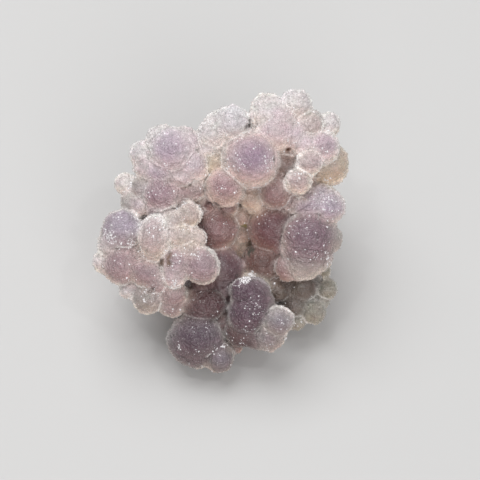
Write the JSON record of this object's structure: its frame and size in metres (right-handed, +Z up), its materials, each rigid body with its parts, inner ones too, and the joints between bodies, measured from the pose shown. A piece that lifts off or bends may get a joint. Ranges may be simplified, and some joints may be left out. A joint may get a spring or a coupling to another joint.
{
  "type": "mineral specimen",
  "caption": "Botryoidal chalcedony: a rounded cluster of grown-together violet balls around a hollow, cut off flat underneath where it broke from its rock.",
  "frame": {"origin": "on the flat cut underneath, below the middle of the cluster", "axes": "+Z up from the flat cut; the display face with the hollow looks along -Y and up; +X to the right seen from in front"},
  "size_m": [0.0307, 0.0302, 0.0226],
  "materials": {
    "chalcedony": "satin"
  },
  "bodies": {
    "root": {"chalcedony_cluster": "chalcedony"}
  },
  "joints": []
}
